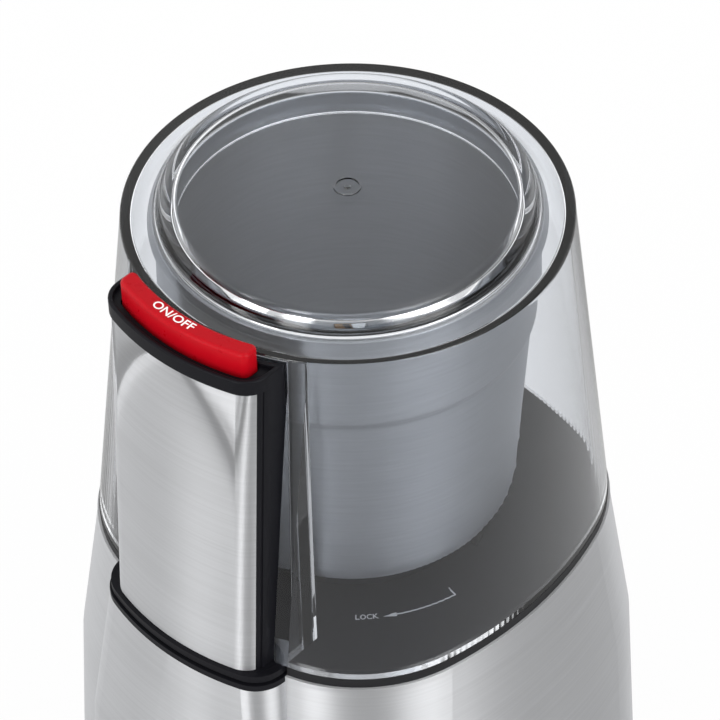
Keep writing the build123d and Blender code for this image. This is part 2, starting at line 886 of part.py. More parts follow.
def housing():
    """Moulded inner shell of the body, with bosses for the deck's and the bottom cover's screws."""
    outside = body_form(housing_inset)
    bosses = wall_bosses(base_boss_radius, base_boss_turn, sleeve_bottom, sleeve_bottom + base_boss_height)
    bosses += wall_bosses(top_boss_radius, 45, top_boss_bottom, deck_boss_bottom)
    shell = outside - body_form(room_inset) + (bosses & outside)
    for place in base_screw_places:
        shell -= bar(place, screw_radius, sleeve_bottom, sleeve_bottom + base_boss_height)
    for place in deck_screw_places:
        shell -= bar(place, screw_radius + screw_fit, top_boss_bottom, deck_boss_bottom)
    return shell - gland_hole()


def body_sleeve():
    """Brushed steel sleeve of the body."""
    return body_form() - body_form(sleeve_wall) - gland_hole()


def base_trim():
    """Black ring under the sleeve, with a shelf inside it that the bottom cover clamps."""
    ring = slab(foot_plan() - foot_plan(trim_width), trim_bottom, sleeve_bottom)
    shelf = foot_plan(trim_width) - foot_plan(trim_width + trim_lip)
    return ring + slab(shelf, sleeve_bottom - trim_lip_height, sleeve_bottom)


def bottom_cover():
    """Base plate with a rim inside the trim ring, vent slots and counterbored screw bosses."""
    edge = trim_width + cover_fit
    rim = foot_plan(edge) - foot_plan(edge + cover_rim_wall)
    cover = slab(foot_plan(edge), foot_height, plate_top) + slab(rim, foot_height, rim_top)
    slot = Pos((vent_inner + vent_outer) / 2, 0) * Rectangle(vent_outer - vent_inner, vent_width)
    for vent in range(vent_count):
        cover -= slab(Rot(0, 0, 360 / vent_count * vent) * slot, foot_height, plate_top)
    for place in base_screw_places:
        cover += bar(place, boss_radius, foot_height, sleeve_bottom)
        cover -= bar(place, screw_radius + screw_fit, foot_height, sleeve_bottom)
        cover -= bar(place, screw_head + screw_fit, foot_height, foot_height + screw_head_height)
    for place in foot_places:
        cover -= bar(place, foot_stud, foot_height, foot_height + foot_stud_height)
    return cover


def rubber_feet():
    """Four rubber feet, each with a stud pressed into the bottom cover."""
    foot = disc(foot_radius, 0, foot_height) + disc(foot_stud, foot_height, foot_height + foot_stud_height)
    return [Pos(*place) * foot for place in foot_places]


def cord_gland():
    """Rubber bush in the back of the body that the mains lead passes through, with a collar outside."""
    turned = Pos(0, gland_end, gland_height) * Rot(90, 0, 0)
    flanges = turned * Pos(0, 0, gland_collar) * Cylinder(gland_flange, gland_length - gland_collar, align=low)
    barrel = turned * Cylinder(gland_radius - gland_fit, gland_length, align=low)
    bore = turned * Cylinder(gland_bore, gland_length, align=low)
    wall = body_form() - body_form(room_inset)
    return flanges - wall + barrel - bore


# ---------------------------------------------------------------- motor


def stator_core():
    """Laminated stator: a yoke with two poles that close round the rotor."""
    outside = RectangleRounded(stack_x, stack_y, stack_corner)
    window = RectangleRounded(stack_x - 2 * yoke, stack_y - 2 * yoke, stack_corner - yoke / 2)
    core = slab(outside - window, stack_bottom, stack_top)
    neck = stack_y / 2 - yoke / 2 - stator_bore
    for side in (-1, 1):
        core += Pos(0, side * (stator_bore + neck / 2)) * block(pole_width, neck, stack_bottom, stack_top)
        core += wedge(stator_bore + pole_shoe, stator_bore, stack_bottom, stack_top, side * 90, pole_angle)
    core -= disc(stator_bore, stack_bottom, stack_top)
    for place in leg_places:
        core -= bar(place, screw_radius + screw_fit, stack_bottom, stack_top)
    return core


def field_coils():
    """Two wound coils, one round each pole."""
    inner_width = pole_width + 2 * coil_gap
    inner_height = stack_height + 2 * coil_gap
    inner = RectangleRounded(inner_width, inner_height, coil_gap)
    outer = RectangleRounded(inner_width + 2 * coil_wall, inner_height + 2 * coil_wall, coil_corner)
    start = stator_bore + pole_shoe + coil_gap
    coil = extrude(Plane.XZ * (outer - inner), start + coil_gap + yoke - stack_y / 2)
    middle = (stack_bottom + stack_top) / 2
    return [Rot(0, 0, turn) * Pos(0, start, middle) * coil for turn in (0, 180)]


def rotor_core():
    """Laminated rotor with open slots for its winding."""
    core = Circle(rotor_radius) - Circle(shaft_radius)
    slot = Pos(rotor_radius, 0) * Rectangle(2 * rotor_slot_depth, rotor_slot_width)
    for number in range(rotor_slots):
        core -= Rot(0, 0, 360 / rotor_slots * number) * slot
    return slab(core, stack_bottom, stack_top)


def rotor_windings():
    """End turns of the armature's winding, above and below the rotor."""
    levels = (stack_top, stack_bottom - winding_height)
    return [tube(winding_radius, shaft_radius, level, level + winding_height) for level in levels]


def commutator():
    """Copper commutator, slit into its bars."""
    face = Circle(commutator_radius) - Circle(shaft_radius)
    slit = Pos(commutator_radius, 0) * Rectangle(2 * commutator_slit_depth, commutator_slit)
    for number in range(commutator_bars):
        face -= Rot(0, 0, 360 / commutator_bars * number) * slit
    return slab(face, commutator_top - commutator_height, commutator_top)


def motor_shaft():
    """Armature shaft from the fan up to the drive coupling."""
    return disc(shaft_radius, shaft_bottom, drive_top)


def cooling_fan():
    """Fan under the motor: a disc with slanted blades round a hub."""
    bottom = fan_top - fan_height
    fan = disc(fan_radius, fan_top - fan_disc, fan_top) + disc(fan_hub, bottom, fan_top)
    line = Line((fan_hub - fan_blade_wall, 0), (fan_radius - fan_blade_wall, fan_sweep))
    wing = slab(trace(line, fan_blade_wall), bottom, fan_top - fan_disc)
    for number in range(fan_blades):
        fan += Rot(0, 0, 360 / fan_blades * number) * wing
    return fan - disc(shaft_radius, bottom, fan_top)


def bearing(bottom):
    """Sintered motor bearing."""
    return tube(bearing_radius, shaft_radius + running_fit, bottom, bottom + bearing_height)


def bracket(plate_bottom, hub_bottom, ears):
    """End bracket of the motor: a windowed plate with a hub that seats the bearing."""
    rim = leg_radius + leg_rim
    face = RectangleRounded(2 * (leg_x + rim), 2 * (leg_y + rim), rim)
    if ears:
        face += ears
    for side in (-1, 1):
        window = Rectangle(bracket_window_x, bracket_window_y)
        face -= Pos(0, side * (bracket_hub + bracket_bridge + bracket_window_y / 2)) * window
    hub = disc(bracket_hub, hub_bottom, hub_bottom + bearing_height)
    body = slab(face, plate_bottom, plate_bottom + bracket_plate) + hub
    return body - disc(bearing_radius, hub_bottom, hub_bottom + bearing_height)


def upper_bracket():
    """Upper end bracket, whose ears hang the motor from the deck."""
    rim = mount_radius + mount_rim
    ears = RectangleRounded(2 * (mount_x + rim), 2 * (mount_y + rim), rim)
    body = bracket(upper_plate, upper_plate, ears)
    for place in leg_places:
        body += bar(place, leg_radius, stack_top, upper_plate)
        body -= bar(place, screw_radius + screw_fit, stack_top, upper_plate_top)
    for place in corners(mount_x, mount_y):
        body -= bar(place, screw_radius + screw_fit, upper_plate, upper_plate_top)
    return body


def lower_bracket():
    """Lower end bracket, with the two pads that the brush holders sit on."""
    pad_length = holder_length - 2 * holder_gap
    body = bracket(lower_plate, lower_hub, None)
    for side in (-1, 1):
        middle = side * (holder_inner + holder_outer) / 2
        body += Pos(middle, 0) * block(pad_length, brush_width, lower_plate, holder_bottom)
    for place in leg_places:
        body += bar(place, leg_radius, lower_plate_top, stack_bottom)
        body -= bar(place, screw_radius, lower_plate, stack_bottom)
    return body


def motor_mounts():
    """Rubber bushes between the deck's bosses and the ears of the upper bracket."""
    return [Pos(*place) * tube(mount_radius, screw_radius, upper_plate_top, mount_top)
            for place in corners(mount_x, mount_y)]


# ---------------------------------------------------------------- brushes


def along_x(solid):
    """Pair of forms, one lying along +X and one along -X at the brushes' level, from one that stands on Z."""
    return [Rot(0, 0, turn) * Pos(0, 0, brush_level) * Rot(0, 90, 0) * solid for turn in (0, 180)]


def brush_holders():
    """Two brass tubes that guide the brushes, closed at their outer ends."""
    outside = block(brush_height + 2 * holder_side, brush_width + 2 * holder_side, holder_inner, holder_outer)
    inside = block(brush_height + 2 * brush_fit, brush_width + 2 * brush_fit, holder_inner, holder_outer - holder_wall)
    return along_x(outside - inside)


def carbon_brushes():
    """Two brushes, hollowed to the commutator's round."""
    bar_form = block(brush_height, brush_width, 0, brush_back)
    clear = Pos(0, 0, brush_level) * Cylinder(commutator_radius + brush_gap, 2 * commutator_height)
    return [brush - clear for brush in along_x(bar_form)]


def brush_springs():
    """Folded leaf springs behind the brushes."""
    pitch = (holder_outer - holder_wall - brush_back - leaf_wall) / leaf_folds
    first = brush_back + leaf_wall / 2
    folds = [((-1) ** fold * leaf_reach, first + pitch * fold) for fold in range(leaf_folds + 1)]
    leaf = trace(Polyline(*folds), leaf_wall)
    return along_x(extrude(Plane.XZ * leaf, leaf_width / 2, both=True))


# ---------------------------------------------------------------- nodes

nodes = {
    "clear_cover": clear_cover(),
    "grinding_cup": grinding_cup(),
    "cup_base": cup_base(),
    "cup_bush": cup_bush(),
    "cup_seal": cup_seal(),
    "blade": blade(),
    "blade_shaft": blade_shaft(),
    "blade_washer": blade_washer(),
    "blade_nut": blade_nut(),
    "driven_coupling": driven_coupling(),
    "drive_coupling": drive_coupling(),
    "deck": deck(),
    "deck_gasket": deck_gasket(),
    "column_foot": column_foot(),
    "column_cover": column_cover(),
    "column_spine": column_spine(),
    "column_cap": column_cap(),
    "on_off_button": on_off_button(),
    "button_spring": button_spring(),
    "push_rod": push_rod(),
    "main_switch": microswitch(main_switch_place, rod_place),
    "main_switch_plunger": plunger(rod_place, plunger_top),
    "interlock_pin": interlock_pin(),
    "interlock_spring": interlock_spring(),
    "interlock_switch": microswitch(pin_switch_place, pin_place),
    "interlock_plunger": plunger(pin_place, pin_bottom),
    "housing": housing(),
    "body_sleeve": body_sleeve(),
    "base_trim": base_trim(),
    "bottom_cover": bottom_cover(),
    "rubber_feet": rubber_feet(),
    "base_screws": screws(base_screw_places, sleeve_bottom + screw_bite, base_screw_length),
    "deck_screws": screws(deck_screw_places, deck_screw_tip, deck_screw_tip - top_boss_bottom),
    "motor_screws": motor_screws(),
    "mount_screws": screws(corners(mount_x, mount_y), mount_top + screw_bite, mount_screw_length),
    "cord_gland": cord_gland(),
    "upper_bracket": upper_bracket(),
    "lower_bracket": lower_bracket(),
    "motor_mounts": motor_mounts(),
    "upper_bearing": bearing(upper_plate),
    "lower_bearing": bearing(lower_hub),
    "stator_core": stator_core(),
    "field_coils": field_coils(),
    "motor_shaft": motor_shaft(),
    "rotor_core": rotor_core(),
    "rotor_windings": rotor_windings(),
    "commutator": commutator(),
    "cooling_fan": cooling_fan(),
    "brush_holders": brush_holders(),
    "carbon_brushes": carbon_brushes(),
    "brush_springs": brush_springs(),
}

for name, form in nodes.items():
    pieces = (Part() + form).solids()
    export_step(pieces[0] if len(pieces) == 1 else Compound(children=pieces), os.path.join("parts", name + ".step"))
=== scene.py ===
import json
from math import asin, cos, degrees, pi, radians, sin, sqrt

import bpy
from bpy.props import FloatProperty, FloatVectorProperty, PointerProperty
from mathutils import Matrix, Vector

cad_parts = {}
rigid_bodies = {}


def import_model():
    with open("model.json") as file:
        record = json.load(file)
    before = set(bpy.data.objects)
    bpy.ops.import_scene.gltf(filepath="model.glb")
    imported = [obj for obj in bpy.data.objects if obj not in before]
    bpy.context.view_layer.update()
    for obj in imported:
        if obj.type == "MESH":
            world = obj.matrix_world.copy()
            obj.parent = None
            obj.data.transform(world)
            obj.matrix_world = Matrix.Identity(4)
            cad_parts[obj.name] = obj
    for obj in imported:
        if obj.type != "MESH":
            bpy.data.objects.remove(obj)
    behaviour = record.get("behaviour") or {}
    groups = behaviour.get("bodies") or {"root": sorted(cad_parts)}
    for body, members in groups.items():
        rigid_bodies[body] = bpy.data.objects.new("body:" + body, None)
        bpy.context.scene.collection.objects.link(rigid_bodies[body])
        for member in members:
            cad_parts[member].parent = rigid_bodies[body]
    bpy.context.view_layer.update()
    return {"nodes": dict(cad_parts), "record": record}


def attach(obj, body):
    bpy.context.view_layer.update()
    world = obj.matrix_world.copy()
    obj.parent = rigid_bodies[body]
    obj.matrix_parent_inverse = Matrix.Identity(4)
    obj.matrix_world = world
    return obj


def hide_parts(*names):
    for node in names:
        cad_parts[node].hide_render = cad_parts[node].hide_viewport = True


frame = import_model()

bl_info = {
    "name": "Electric spice grinder",
    "version": (1, 0, 0),
    "blender": (4, 5, 0),
    "location": "3D View > Sidebar > Grinder",
    "description": "Finishes and moulded details of an electric spice grinder, built round its solid parts",
    "category": "Add Mesh",
}

MM = 0.001  # metres in a millimetre
WHITE = (1, 1, 1, 1)
FINISHES = {}  # each finish's material, filled when the solid parts are finished


# ---------------------------------------------------------------- colours and nodes

NOISE_LOW, NOISE_HIGH = 0.3, 0.7  # nearly all of a noise lies between these
FLOW_WIDTH, FLOW_LENGTH = 25 * MM, 83 * MM  # of the waves in moulded clear plastic
BRUSH_RUN = 40 * MM  # length of a brushed streak
TURNED_RUN = 3.0  # noise cells along a radian of a turned streak
SHEET_RUN = 16.7 * MM  # length over which a lamination or a layer of wire changes its shade
# level lines stretch highlights upwards
GRAIN = {"metallic": 1.0, "anisotropic": 0.9, "anisotropic_rotation": 0.25}


def linear(hexadecimal):
    """Linear red, green, blue and alpha of an sRGB colour written as six hexadecimal digits."""
    shares = [int(hexadecimal[i:i + 2], 16) / 255 for i in (0, 2, 4)]
    return tuple(c / 12.92 if c <= 0.04045 else ((c + 0.055) / 1.055) ** 2.4 for c in shares) + (1.0,)


def add(tree, kind, inputs=None, **settings):
    """Adds a node of a kind to a tree, with its settings, and with its inputs set or linked."""
    node = tree.nodes.new(kind)
    for name, value in settings.items():
        setattr(node, name, value)
    for name, value in (inputs or {}).items():
        if isinstance(value, bpy.types.NodeSocket):
            tree.links.new(value, node.inputs[name])
        else:
            node.inputs[name].default_value = value
    return node


def new_material(name):
    """An empty material and its node tree."""
    material = bpy.data.materials.new(name)
    material.use_nodes = True
    material.node_tree.nodes.clear()
    return material, material.node_tree


def scaled_place(tree, scale):
    """Object coordinates multiplied along X, Y and Z: a scale is one over a length in metres."""
    place = add(tree, "ShaderNodeTexCoord").outputs["Object"]
    return add(tree, "ShaderNodeMapping", {"Vector": place, "Scale": scale}).outputs["Vector"]


def round_place(tree, line, run):
    """Coordinates that run round the Z axis: brushing lines of one width that follow the turning of a cup."""
    place = add(tree, "ShaderNodeTexCoord").outputs["Object"]
    parts = add(tree, "ShaderNodeSeparateXYZ", {"Vector": place})
    flat = add(tree, "ShaderNodeCombineXYZ", {"X": parts.outputs["X"], "Y": parts.outputs["Y"]})
    radius = add(tree, "ShaderNodeVectorMath", {0: flat.outputs["Vector"]}, operation="LENGTH")
    turn = add(tree, "ShaderNodeVectorMath", {0: flat.outputs["Vector"]}, operation="NORMALIZE")
    along = add(tree, "ShaderNodeVectorMath", {0: turn.outputs["Vector"], "Scale": run}, operation="SCALE")
    far = add(tree, "ShaderNodeMath", {0: radius.outputs["Value"], 1: 1 / line}, operation="MULTIPLY")
    high = add(tree, "ShaderNodeMath", {0: parts.outputs["Z"], 1: 1 / line}, operation="MULTIPLY")
    depth = add(tree, "ShaderNodeMath", {0: far.outputs["Value"], 1: high.outputs["Value"]}, operation="ADD")
    up = add(tree, "ShaderNodeCombineXYZ", {"Z": depth.outputs["Value"]})
    both = {0: along.outputs["Vector"], 1: up.outputs["Vector"]}
    return add(tree, "ShaderNodeVectorMath", both, operation="ADD").outputs["Vector"]


def surface(material, tree, place, colour, variation, roughness, spread, bump, detail=3.0, **settings):
    """Principled surface whose colour, roughness and height follow one noise, read at scaled coordinates."""
    noise = add(tree, "ShaderNodeTexNoise", {
        "Vector": place, "Scale": 1.0, "Detail": detail, "Roughness": 0.6})
    value = {"Value": noise.outputs["Fac"], "From Min": NOISE_LOW, "From Max": NOISE_HIGH}
    dark = tuple(c * (1 - variation) for c in colour[:3]) + (1.0,)
    light = tuple(min(1.0, c * (1 + variation)) for c in colour[:3]) + (1.0,)
    shade = add(tree, "ShaderNodeMapRange", value)
    tones = {"Factor": shade.outputs["Result"], 6: dark, 7: light}
    mix = add(tree, "ShaderNodeMix", tones, data_type="RGBA")
    roughnesses = {"To Min": roughness - spread, "To Max": roughness + spread}
    rough = add(tree, "ShaderNodeMapRange", {**value, **roughnesses})
    height = add(tree, "ShaderNodeBump", {"Height": noise.outputs["Fac"], "Strength": 1.0, "Distance": bump})
    shader = add(tree, "ShaderNodeBsdfPrincipled", {
        "Base Color": mix.outputs[2], "Roughness": rough.outputs["Result"],
        "Normal": height.outputs["Normal"]})
    for name, setting in settings.items():
        shader.inputs[name.replace("_", " ").title().replace("Ior", "IOR")].default_value = setting
    if "anisotropic" in settings:
        grain = add(tree, "ShaderNodeTangent", direction_type="RADIAL", axis="Z")
        tree.links.new(grain.outputs["Tangent"], shader.inputs["Tangent"])
    add(tree, "ShaderNodeOutputMaterial", {"Surface": shader.outputs["BSDF"]})
    return material


def clear_plastic(name, tint):
    """Glossy, faintly grey plastic with waves where it flowed into its mould. Lamps shine through it."""
    material, tree = new_material(name)
    place = scaled_place(tree, (1 / FLOW_WIDTH, 1 / FLOW_WIDTH, 1 / FLOW_LENGTH))
    flow = add(tree, "ShaderNodeTexNoise", {"Vector": place, "Scale": 1.0, "Detail": 1.0})
    wave = add(tree, "ShaderNodeBump", {"Height": flow.outputs["Fac"], "Distance": 0.02 * MM})
    body = add(tree, "ShaderNodeBsdfPrincipled", {
        "Base Color": tint, "Roughness": 0.0, "IOR": 1.5, "Transmission Weight": 1.0,
        "Normal": wave.outputs["Normal"]})
    clear = add(tree, "ShaderNodeBsdfTransparent", {"Color": tint})
    shadow = add(tree, "ShaderNodeLightPath").outputs["Is Shadow Ray"]
    mix = add(tree, "ShaderNodeMixShader", {0: shadow, 1: body.outputs["BSDF"], 2: clear.outputs["BSDF"]})
    add(tree, "ShaderNodeOutputMaterial", {"Surface": mix.outputs["Shader"]})
    return material


def brushed_steel(name, colour, roughness, line):
    """Stainless sheet brushed along its width: fine level streaks that blur reflections."""
    material, tree = new_material(name)
    place = scaled_place(tree, (1 / BRUSH_RUN, 1 / BRUSH_RUN, 1 / line))
    return surface(material, tree, place, colour, 0.05, roughness, 0.04, 0.006 * MM, detail=4.0, **GRAIN)


def turned_steel(name, colour, roughness, line):
    """Drawn stainless steel polished while it turns: rings of fine lines."""
    material, tree = new_material(name)
    place = round_place(tree, line, TURNED_RUN)
    return surface(material, tree, place, colour, 0.06, roughness, 0.04, 0.006 * MM, detail=4.0, **GRAIN)


def plain(name, colour, grain, variation, roughness, bump, **settings):
    """Finish with an even grain of one size, such as moulded plastic, rubber, casting or plating."""
    material, tree = new_material(name)
    place = scaled_place(tree, (1 / grain,) * 3)
    return surface(material, tree, place, colour, variation, roughness, roughness * 0.15, bump, **settings)


def layered(name, colour, sheet, roughness, **settings):
    """Stacked or wound metal: even lines of one thickness along Z."""
    material, tree = new_material(name)
    place = scaled_place(tree, (1 / SHEET_RUN, 1 / SHEET_RUN, 1 / sheet))
    return surface(material, tree, place, colour, 0.25, roughness, 0.08, sheet * 0.1, detail=0.0, **settings)


def materials():
    """Every finish by the name of its slot: its colour, its grain, its roughness and its height."""
    look = bpy.context.scene.grinder_looks
    colours = look.cover_tint, look.cup_steel, look.sleeve_steel, look.black_plastic, look.red_plastic
    cover, cup, sleeve, black, red = ((*colour, 1.0) for colour in colours)
    metal = {"metallic": 1.0}
    return {
        # injection moulded styrene-acrylonitrile: clear as glass, with bright edges
        "clear_plastic": clear_plastic("moulded_san", cover),
        # rings of fine lines round the cup, drawn coarser than real ones so that they show
        "cup_steel": turned_steel("drawn_stainless_steel", cup, 0.38, 0.6 * MM),
        # level streaks that draw each lamp out into a tall soft band, drawn coarser so that they show
        "sleeve_steel": brushed_steel("brushed_stainless_sheet", sleeve, 0.5, 0.5 * MM),
        # ground edges: brighter and sharper than the cup
        "blade_steel": plain(
            "ground_blade_steel", linear("c8ccd0"), 0.8 * MM, 0.05, 0.22, 0.005 * MM, **metal),
        # spark-eroded mould: even satin black that hardly mirrors
        "black_plastic": plain(
            "moulded_black_abs", black, 0.6 * MM, 0.15, 0.36, 0.006 * MM, specular_ior_level=0.1),
        # soft trim: a little greyer than the plastic, with a broad dull shine along its edge
        "gasket_rubber": plain(
            "moulded_black_elastomer", linear("1c1c1e"), 0.7 * MM, 0.15, 0.42, 0.008 * MM,
            specular_ior_level=0.2),
        # feet and grommets: dull and faintly rough
        "rubber": plain("moulded_black_rubber", linear("161616"), 0.8 * MM, 0.2, 0.7, 0.02 * MM),
        # polished mould: even deep red with a soft shine on its rounded edges
        "red_plastic": plain(
            "polished_red_abs", red, 3 * MM, 0.04, 0.3, 0.004 * MM, specular_ior_level=0.12),
        # rod and pin cut from bar: waxy white
        "white_plastic": plain("turned_acetal", linear("d8d8d4"), 2 * MM, 0.04, 0.35, 0.006 * MM),
        # tough dark grey with a fine grain
        "coupling_plastic": plain("moulded_nylon", linear("34343a"), 0.8 * MM, 0.15, 0.45, 0.01 * MM),
        # hard and dull, nearly black
        "switch_plastic": plain("moulded_phenolic", linear("2c2c30"), 0.6 * MM, 0.2, 0.45, 0.01 * MM),
        # small red tip that marks what is pressed
        "plunger_plastic": plain("red_acetal", linear("b02018"), 1.5 * MM, 0.06, 0.35, 0.006 * MM),
        # wire drawn bright, with a sharp line of light
        "spring_steel": plain("drawn_spring_wire", linear("a0a4a8"), 0.5 * MM, 0.1, 0.3, 0.005 * MM, **metal),
        # plating with a slightly yellow, cloudy shine
        "screw_steel": plain(
            "zinc_plated_steel", linear("a8a8a0"), 0.8 * MM, 0.12, 0.35, 0.008 * MM, **metal),
        # pressed powder: brown, porous and dull
        "bronze": plain("sintered_bronze", linear("9c7848"), 0.4 * MM, 0.25, 0.5, 0.03 * MM, **metal),
        # yellow sheet with a soft shine
        "brass": plain("stamped_brass", linear("c8a450"), 1.5 * MM, 0.08, 0.3, 0.005 * MM, **metal),
        # pale grey skin with a cast grain
        "cast_aluminium": plain(
            "die_cast_aluminium", linear("a8aaac"), 1 * MM, 0.12, 0.45, 0.03 * MM, **metal),
        # edges of stacked sheets: level lines from light to dark grey
        "lamination_steel": layered(
            "stacked_lamination_steel", linear("606266"), 0.8 * MM, 0.45, **metal),
        # wound wire: brown red lines with an enamel shine
        "copper_wire": layered("enamelled_copper_wire", linear("a85a34"), 0.9 * MM, 0.35, **metal),
        # sooty black that dusts off
        "carbon": plain("pressed_graphite", linear("2a2a2c"), 0.5 * MM, 0.25, 0.55, 0.02 * MM),
        # thin opaque ink, white on the button and grey on the deck
        "white_ink": plain("white_pad_print", linear("f2f2f0"), 0.4 * MM, 0.04, 0.45, 0.004 * MM),
        "grey_ink": plain("grey_pad_print", linear("b4b6ba"), 0.4 * MM, 0.06, 0.5, 0.004 * MM),
    }


# ---------------------------------------------------------------- values a user can change


class GrinderLooks(bpy.types.PropertyGroup):
    """Colours of the grinder's finishes"""

    cover_tint: FloatVectorProperty(
        name="Cover tint", description="Light that the clear cover lets through", subtype="COLOR",
        min=0, max=1, default=linear("f7f9fc")[:3])
    cup_steel: FloatVectorProperty(
        name="Cup steel", description="Colour of the drawn cup", subtype="COLOR",
        min=0, max=1, default=linear("aeb1b6")[:3])
    sleeve_steel: FloatVectorProperty(
        name="Sleeve steel", description="Colour of the brushed sheet", subtype="COLOR",
        min=0, max=1, default=linear("cecfd1")[:3])
    black_plastic: FloatVectorProperty(
        name="Black plastic", description="Colour of the deck, column and cap", subtype="COLOR",
        min=0, max=1, default=linear("141418")[:3])
    red_plastic: FloatVectorProperty(
        name="Button", description="Colour of the push button", subtype="COLOR",
        min=0, max=1, default=linear("ae0716")[:3])


class GrinderSizes(bpy.types.PropertyGroup):
    """Sizes of the stage and of the details"""

    camera_x: FloatProperty(
        name="Camera X", description="Where the camera stands", unit="LENGTH", default=0.3047)
    camera_y: FloatProperty(
        name="Camera Y", description="Where the camera stands", unit="LENGTH", default=-0.3359)
    camera_z: FloatProperty(
        name="Camera Z", description="Height of the camera", unit="LENGTH", default=0.6048)
    cover_wall: FloatProperty(
        name="Cover wall", description="Thickness of the clear wall", unit="LENGTH", default=0.002)
    crown_round: FloatProperty(
        name="Crown rounding", description="Rounding of the cover's raised top", unit="LENGTH", default=0.002)
    cup_round: FloatProperty(
        name="Cup foot rounding", description="Radius of the cup's foot", unit="LENGTH", default=0.009)
    button_round: FloatProperty(
        name="Button rounding", description="Rounding along the button's top", unit="LENGTH", default=0.0009)
    words_width: FloatProperty(
        name="Words width", description="Length of the button's words", unit="LENGTH", default=0.0105)


# ---------------------------------------------------------------- stage

CAMERA_PITCH = 44.73  # degrees below the horizon
CAMERA_HEADING = 42.0  # degrees anticlockwise from +Y
CAMERA_ROLL = 1.1  # degrees clockwise
FOCAL_PIXELS = 3044.86
IMAGE_PIXELS = 720
CENTRE_DROP_PIXELS = 40  # the optical axis below the picture's middle
SENSOR = 36.0  # millimetres
FLOOR_SIZE = 6.0
FLOOR_GREY = "e7e7e7"  # of the floor as it is lit
FLOOR_WHITE = 0.95  # share of plain white in the floor where it is looked at, beside the shadow on it
FLOOR_MIRRORED = 0.5  # how bright the floor is in steel and other mirrors
FLOOR_MIRRORED_SHARE = 0.9  # the rest is the floor as it is lit
LAMP_TARGET = (0, 0, 0.15)
LAMPS = (  # name, place, width, height, watts
    ("key", (-0.3, -1.1, 0.75), 0.3, 1.1, 1.1),
    ("fill", (1.1, -0.1, 0.6), 0.3, 0.9, 0.6),
    ("top", (0.5, 0.3, 1.25), 0.8, 0.8, 1.1),
)
STRIPS = (  # tall soft boxes round the studio: degrees from -Y towards +X, half width in degrees, strength
    (-19, 4, 4.0),
    (12, 7, 6.5),
    (82, 16, 3.6),
    (172, 20, 1.2),
    (-80, 42, 1.2),
)
STRIP_FADE = 0.35, 0.7  # heights, as shares of a unit sphere, between which the soft boxes end
SKY_RISE = -0.2, 0.9  # heights between which the even light of the studio rises
SKY_LEVEL = 0.1, 1.0  # the even light below and above


class GRINDER_OT_stage(bpy.types.Operator):
    """Add the floor, the lamps and the camera"""

    bl_idname = "grinder.stage"
    bl_label = "Stage"

    def execute(self, context):
        size = context.scene.grinder_sizes
        place_camera(Vector((size.camera_x, size.camera_y, size.camera_z)))
        add_floor()
        for lamp in LAMPS:
            add_lamp(*lamp)
        light_world()
        return {"FINISHED"}


def place_camera(place):
    """Camera with a long lens, looking down at the cover and the button."""
    bpy.ops.object.camera_add(location=place)
    camera = bpy.context.object
    turn = Matrix.Rotation(radians(CAMERA_HEADING), 4, "Z")
    tilt = Matrix.Rotation(radians(90 - CAMERA_PITCH), 4, "X")
    roll = Matrix.Rotation(radians(-CAMERA_ROLL), 4, "Z")
    camera.matrix_world = Matrix.Translation(place) @ turn @ tilt @ roll
    camera.data.sensor_width = SENSOR
    camera.data.lens = FOCAL_PIXELS / IMAGE_PIXELS * SENSOR
    camera.data.shift_y = CENTRE_DROP_PIXELS / IMAGE_PIXELS
    camera.data.clip_end = 100
    bpy.context.scene.camera = camera


def seen_directly(tree, ray):
    """1 for a ray that comes from the camera, or on through clear plastic, and isn't mirrored on its way."""
    through = {0: ray.outputs["Is Transmission Ray"], 1: ray.outputs["Glossy Depth"]}
    unmirrored = add(tree, "ShaderNodeMath", through, operation="SUBTRACT").outputs["Value"]
    direct = {0: unmirrored, 1: ray.outputs["Diffuse Depth"]}
    clear = add(tree, "ShaderNodeMath", direct, operation="SUBTRACT").outputs["Value"]
    seen = {0: ray.outputs["Is Camera Ray"], 1: clear}
    return add(tree, "ShaderNodeMath", seen, operation="MAXIMUM").outputs["Value"]


def add_floor():
    """Pale floor that looks white, takes the grinder's shadow and shows half as bright in metal."""
    bpy.ops.mesh.primitive_plane_add(size=FLOOR_SIZE, location=(0, 0, 0))
    floor = bpy.context.object
    floor.name = "floor"
    material, tree = new_material("pale_floor")
    diffuse = add(tree, "ShaderNodeBsdfDiffuse", {"Color": linear(FLOOR_GREY)})
    ray = add(tree, "ShaderNodeLightPath")
    seen = seen_directly(tree, ray)
    level = add(tree, "ShaderNodeMapRange", {"Value": seen, "To Min": FLOOR_MIRRORED, "To Max": 1.0})
    glow = add(tree, "ShaderNodeEmission", {"Color": WHITE, "Strength": level.outputs["Result"]})
    mirrored = add(tree, "ShaderNodeMath", {0: ray.outputs["Glossy Depth"], 1: FLOOR_MIRRORED_SHARE},
                   operation="MINIMUM")
    share = add(tree, "ShaderNodeMath", {0: seen, 1: FLOOR_WHITE, 2: mirrored.outputs["Value"]},
                operation="MULTIPLY_ADD", use_clamp=True)
    mix = add(tree, "ShaderNodeMixShader", {
        0: share.outputs["Value"], 1: diffuse.outputs["BSDF"], 2: glow.outputs["Emission"]})
    add(tree, "ShaderNodeOutputMaterial", {"Surface": mix.outputs["Shader"]})
    floor.data.materials.append(material)


def add_lamp(name, place, width, height, power):
    """Soft box lamp at a place, facing the grinder's middle."""
    bpy.ops.object.light_add(type="AREA", location=place)
    lamp = bpy.context.object
    lamp.name = name
    lamp.data.shape = "RECTANGLE"
    lamp.data.size = width
    lamp.data.size_y = height
    lamp.data.energy = power
    lamp.rotation_euler = (Vector(LAMP_TARGET) - Vector(place)).to_track_quat("-Z", "Y").to_euler()


